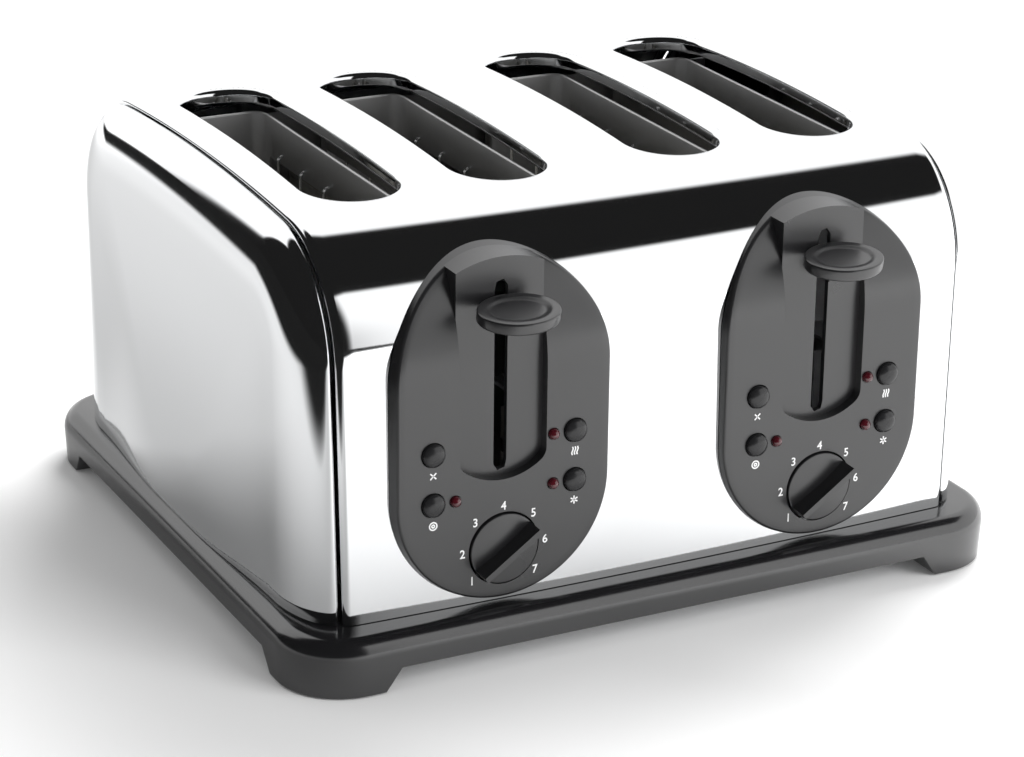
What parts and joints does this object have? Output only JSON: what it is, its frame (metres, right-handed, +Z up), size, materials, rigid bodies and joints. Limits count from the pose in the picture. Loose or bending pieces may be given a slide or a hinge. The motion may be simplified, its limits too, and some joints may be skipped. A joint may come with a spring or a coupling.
{
  "type": "four-slot toaster",
  "caption": "Long-slot countertop toaster with a polished wrap body, two oval control panels, sliding levers, browning knobs, push buttons and rear crumb trays.",
  "frame": {"origin": "on the surface the feet stand on, below the middle of the whole toaster", "axes": "+X to the right across the slots, +Y to the back, +Z up"},
  "size_m": [0.3216, 0.3082, 0.1812],
  "materials": {
    "chrome": "polished",
    "black_plastic": "satin",
    "gloss_button": "gloss",
    "lamp_red": "gloss",
    "steel": "brushed",
    "spring_steel": "bright",
    "mica": "matt",
    "circuit_board": "matt",
    "copper": "enamelled",
    "rubber": "matt"
  },
  "bodies": {
    "housing": {"wrap_cover": "chrome", "base_frame": "black_plastic", "bottom_plate": "steel", "chassis_plate_front": "steel", "chassis_plate_back": "steel", "cord_gland": "rubber", "rubber_foot_left_front": "rubber", "rubber_foot_left_back": "rubber", "rubber_foot_right_front": "rubber", "rubber_foot_right_back": "rubber", "side_cover_left": "chrome", "control_panel_left": "black_plastic", "lamp_lens_bagel_left": "lamp_red", "lamp_lens_reheat_left": "lamp_red", "lamp_lens_defrost_left": "lamp_red", "guide_rod_left": "steel", "return_spring_left": "spring_steel", "control_board_left": "circuit_board", "electromagnet_left": "copper", "bread_well_left_a": "steel", "bread_well_left_b": "steel", "heater_card_left_a": "mica", "heater_card_left_middle": "mica", "heater_card_left_b": "mica", "side_cover_right": "chrome", "control_panel_right": "black_plastic", "lamp_lens_bagel_right": "lamp_red", "lamp_lens_reheat_right": "lamp_red", "lamp_lens_defrost_right": "lamp_red", "guide_rod_right": "steel", "return_spring_right": "spring_steel", "control_board_right": "circuit_board", "electromagnet_right": "copper", "bread_well_right_a": "steel", "bread_well_right_b": "steel", "heater_card_right_a": "mica", "heater_card_right_middle": "mica", "heater_card_right_b": "mica"},
    "lift_left": {"lift_carriage_left": "steel", "lever_paddle_left": "black_plastic", "bread_lift_left_a": "steel", "bread_lift_left_b": "steel"},
    "browning_left": {"knob_left": "black_plastic"},
    "button_cancel_left": {"button_cancel_left": "gloss_button"},
    "button_bagel_left": {"button_bagel_left": "gloss_button"},
    "button_reheat_left": {"button_reheat_left": "gloss_button"},
    "button_defrost_left": {"button_defrost_left": "gloss_button"},
    "crumb_tray_left": {"crumb_tray_left": "steel"},
    "lift_right": {"lift_carriage_right": "steel", "lever_paddle_right": "black_plastic", "bread_lift_right_a": "steel", "bread_lift_right_b": "steel"},
    "browning_right": {"knob_right": "black_plastic"},
    "button_cancel_right": {"button_cancel_right": "gloss_button"},
    "button_bagel_right": {"button_bagel_right": "gloss_button"},
    "button_reheat_right": {"button_reheat_right": "gloss_button"},
    "button_defrost_right": {"button_defrost_right": "gloss_button"},
    "crumb_tray_right": {"crumb_tray_right": "steel"}
  },
  "joints": [
    {"name": "lever_left", "type": "slide", "parent": "housing", "child": "lift_left", "axis": [0, 0, -1], "range_m": [0, 0.056], "stiffness_N_per_m": 80, "springref_m": -0.08, "deforming": ["return_spring_left"]},
    {"name": "browning_left", "type": "hinge", "parent": "housing", "child": "browning_left", "pos_m": [-0.07155, -0.13033, 0.0474], "axis": [0, -1, 0], "range_deg": [-75, 185]},
    {"name": "button_cancel_left", "type": "slide", "parent": "housing", "child": "button_cancel_left", "axis": [0, 1, 0], "range_m": [0, 0.0015], "stiffness_N_per_m": 400, "springref_m": -0.001},
    {"name": "button_bagel_left", "type": "slide", "parent": "housing", "child": "button_bagel_left", "axis": [0, 1, 0], "range_m": [0, 0.0015], "stiffness_N_per_m": 400, "springref_m": -0.001},
    {"name": "button_reheat_left", "type": "slide", "parent": "housing", "child": "button_reheat_left", "axis": [0, 1, 0], "range_m": [0, 0.0015], "stiffness_N_per_m": 400, "springref_m": -0.001},
    {"name": "button_defrost_left", "type": "slide", "parent": "housing", "child": "button_defrost_left", "axis": [0, 1, 0], "range_m": [0, 0.0015], "stiffness_N_per_m": 400, "springref_m": -0.001},
    {"name": "crumb_tray_left", "type": "slide", "parent": "housing", "child": "crumb_tray_left", "axis": [0, 1, 0], "range_m": [0, 0.2]},
    {"name": "lever_right", "type": "slide", "parent": "housing", "child": "lift_right", "axis": [0, 0, -1], "range_m": [0, 0.056], "stiffness_N_per_m": 80, "springref_m": -0.08, "deforming": ["return_spring_right"]},
    {"name": "browning_right", "type": "hinge", "parent": "housing", "child": "browning_right", "pos_m": [0.07155, -0.13033, 0.0474], "axis": [0, -1, 0], "range_deg": [-75, 185]},
    {"name": "button_cancel_right", "type": "slide", "parent": "housing", "child": "button_cancel_right", "axis": [0, 1, 0], "range_m": [0, 0.0015], "stiffness_N_per_m": 400, "springref_m": -0.001},
    {"name": "button_bagel_right", "type": "slide", "parent": "housing", "child": "button_bagel_right", "axis": [0, 1, 0], "range_m": [0, 0.0015], "stiffness_N_per_m": 400, "springref_m": -0.001},
    {"name": "button_reheat_right", "type": "slide", "parent": "housing", "child": "button_reheat_right", "axis": [0, 1, 0], "range_m": [0, 0.0015], "stiffness_N_per_m": 400, "springref_m": -0.001},
    {"name": "button_defrost_right", "type": "slide", "parent": "housing", "child": "button_defrost_right", "axis": [0, 1, 0], "range_m": [0, 0.0015], "stiffness_N_per_m": 400, "springref_m": -0.001},
    {"name": "crumb_tray_right", "type": "slide", "parent": "housing", "child": "crumb_tray_right", "axis": [0, 1, 0], "range_m": [0, 0.2]}
  ]
}
